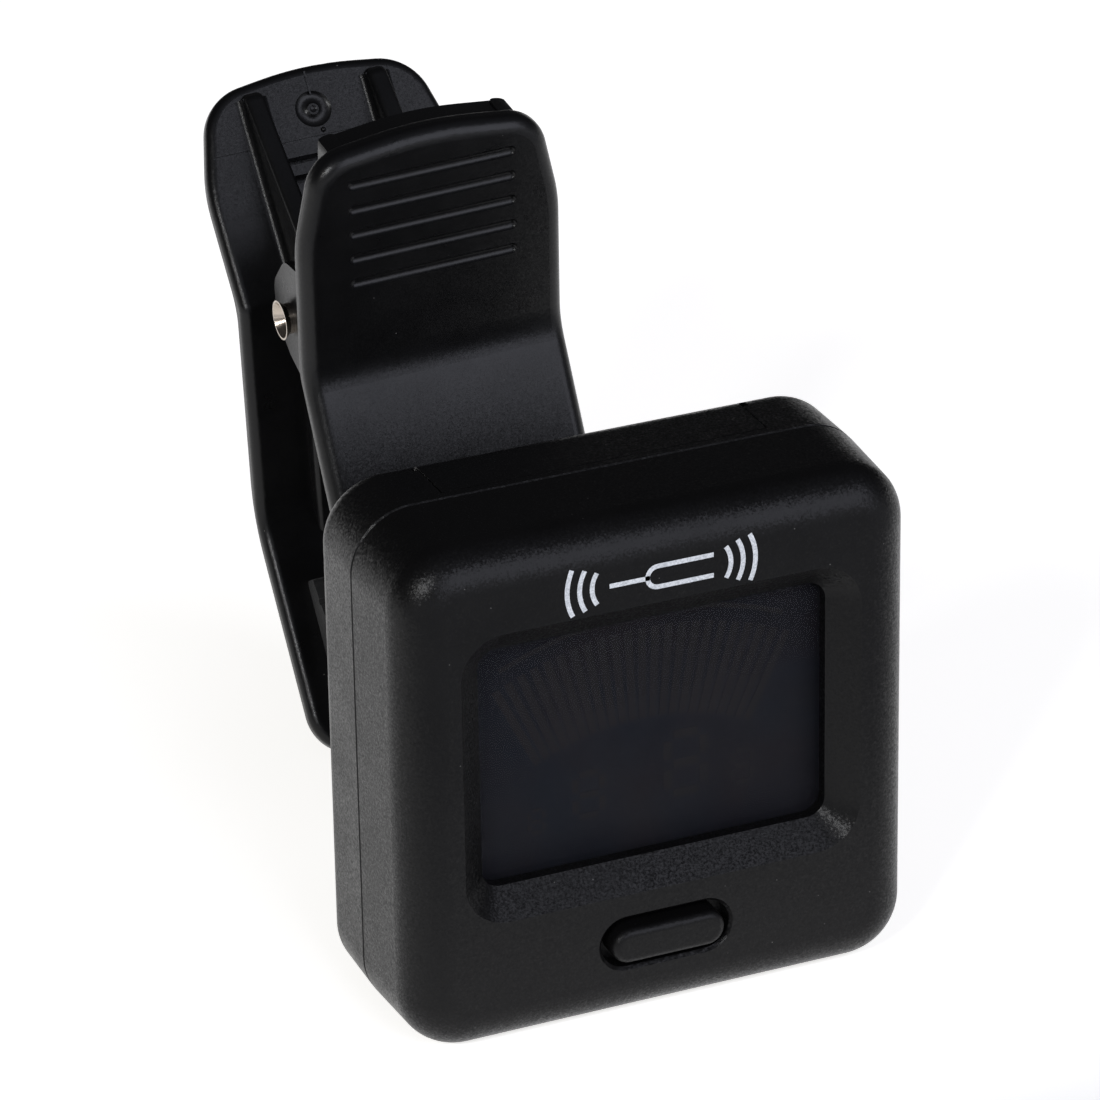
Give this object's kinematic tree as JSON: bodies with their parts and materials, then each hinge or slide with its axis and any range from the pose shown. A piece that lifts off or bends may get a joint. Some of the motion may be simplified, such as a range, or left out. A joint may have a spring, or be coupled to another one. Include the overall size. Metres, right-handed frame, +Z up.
{
  "type": "clip-on tuner",
  "caption": "Square display head with a push button on a tilting and swivelling arm, carried by a sprung clip with rubber grip pads.",
  "frame": {"origin": "where the tips of the two grip pads meet, the middle of what the clip holds", "axes": "+Z up with the head upright, -Y the way the display faces, X across the head"},
  "size_m": [0.042, 0.0702, 0.0586],
  "materials": {
    "cover_plastic": "fine moulded texture",
    "clip_plastic": "fine moulded texture, slightly glossier on the levers",
    "button_plastic": "fine moulded texture",
    "arm_plastic": "satin",
    "lens_acrylic": "clear, smoked",
    "lcd_glass": "dark polariser over a faint segment pattern",
    "white_plastic": "milky light guide",
    "led": "small white LED with a yellow phosphor",
    "zebra_rubber": "striped conductive rubber",
    "board": "green solder mask",
    "chip": "moulded epoxy",
    "tinned_metal": "tinned can",
    "contact_metal": "nickel-plated spring strip",
    "cell_metal": "stamped stainless can",
    "piezo_brass": "thin brass disc",
    "ceramic": "silvered ceramic",
    "steel": "zinc-plated screws",
    "nickel": "bright nickel rivet",
    "spring_steel": "drawn spring wire",
    "pad_rubber": "soft black rubber"
  },
  "bodies": {
    "clip_front": {"front_jaw": "clip_plastic", "hinge_rivet": "nickel", "torsion_spring": "spring_steel", "front_pad": "pad_rubber"},
    "clip_rear": {"rear_jaw": "clip_plastic", "rear_pad": "pad_rubber"},
    "arm": {"swivel_arm": "arm_plastic", "swivel_washer": "steel", "swivel_screw": "steel"},
    "head": {"front_cover": "cover_plastic", "rear_cover": "cover_plastic", "display_lens": "lens_acrylic", "lcd_panel": "lcd_glass", "light_guide": "white_plastic", "backlight_leds": "led", "zebra_strip": "zebra_rubber", "circuit_board": "board", "main_chip": "chip", "crystal": "tinned_metal", "smd_parts": "ceramic", "tact_switch": "tinned_metal", "battery_tray": "arm_plastic", "coin_cell": "cell_metal", "positive_contact": "contact_metal", "negative_contact": "contact_metal", "piezo_plate": "piezo_brass", "piezo_ceramic": "ceramic", "cover_screws": "steel", "tilt_screw": "steel", "tilt_nut": "steel"},
    "button": {"power_button": "button_plastic", "switch_plunger": "button_plastic"},
    "door": {"battery_door": "cover_plastic"}
  },
  "joints": [
    {"name": "clip_hinge", "type": "hinge", "parent": "clip_front", "child": "clip_rear", "pos_m": [-0.00149, 0.0068, 0.03387], "axis": [0.999, -0.0055, 0.045], "range_deg": [0, 30], "stiffness_Nm_per_rad": 0.3, "springref_deg": -57.3, "deforming": ["torsion_spring"]},
    {"name": "swivel", "type": "hinge", "parent": "clip_front", "child": "arm", "pos_m": [-0.0006, -0.00782, 0.01233], "axis": [0, 0.9925, 0.1219], "continuous": true},
    {"name": "tilt", "type": "hinge", "parent": "arm", "child": "head", "pos_m": [-0.0006, -0.02012, 0.01082], "axis": [1, 0, 0], "range_deg": [-45, 45]},
    {"name": "button_press", "type": "slide", "parent": "head", "child": "button", "axis": [0, 1, 0], "range_m": [0, 0.0004], "stiffness_N_per_m": 600},
    {"name": "door_slide", "type": "slide", "parent": "head", "child": "door", "axis": [0, 0, 1], "range_m": [0, 0.021]}
  ]
}
